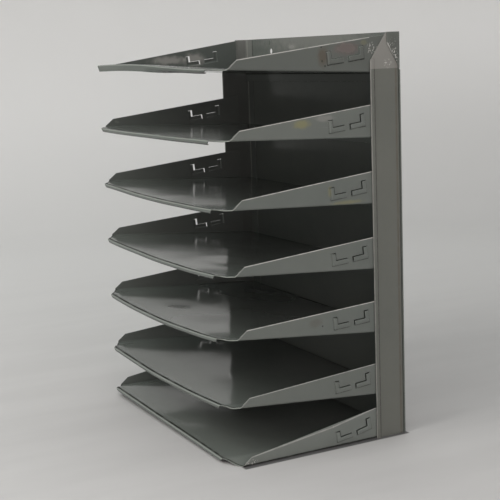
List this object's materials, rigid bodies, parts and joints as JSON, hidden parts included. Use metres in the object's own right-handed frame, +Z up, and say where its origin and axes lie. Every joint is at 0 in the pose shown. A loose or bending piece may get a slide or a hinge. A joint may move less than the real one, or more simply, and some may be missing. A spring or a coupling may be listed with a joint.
{
  "type": "desktop file sorter",
  "caption": "Vertical desktop file sorter of folded sheet steel: stacked open-front trays with tapered side walls, fixed between two uprights and a back panel.",
  "frame": {"origin": "middle of the footprint, on the surface the rack stands on", "axes": "+Z up, -Y towards the open front of the trays, X across the rack"},
  "size_m": [0.3024, 0.1906, 0.385],
  "materials": {
    "panel_enamel": "semi-gloss grey enamel, worn",
    "frame_enamel": "semi-gloss grey enamel, worn",
    "tray_enamel": "semi-gloss grey enamel, worn"
  },
  "bodies": {
    "root": {"back_panel": "panel_enamel", "left_upright": "frame_enamel", "right_upright": "frame_enamel", "tray_1": "tray_enamel", "tray_2": "tray_enamel", "tray_3": "tray_enamel", "tray_4": "tray_enamel", "tray_5": "tray_enamel", "tray_6": "tray_enamel", "tray_7": "tray_enamel"}
  },
  "joints": []
}
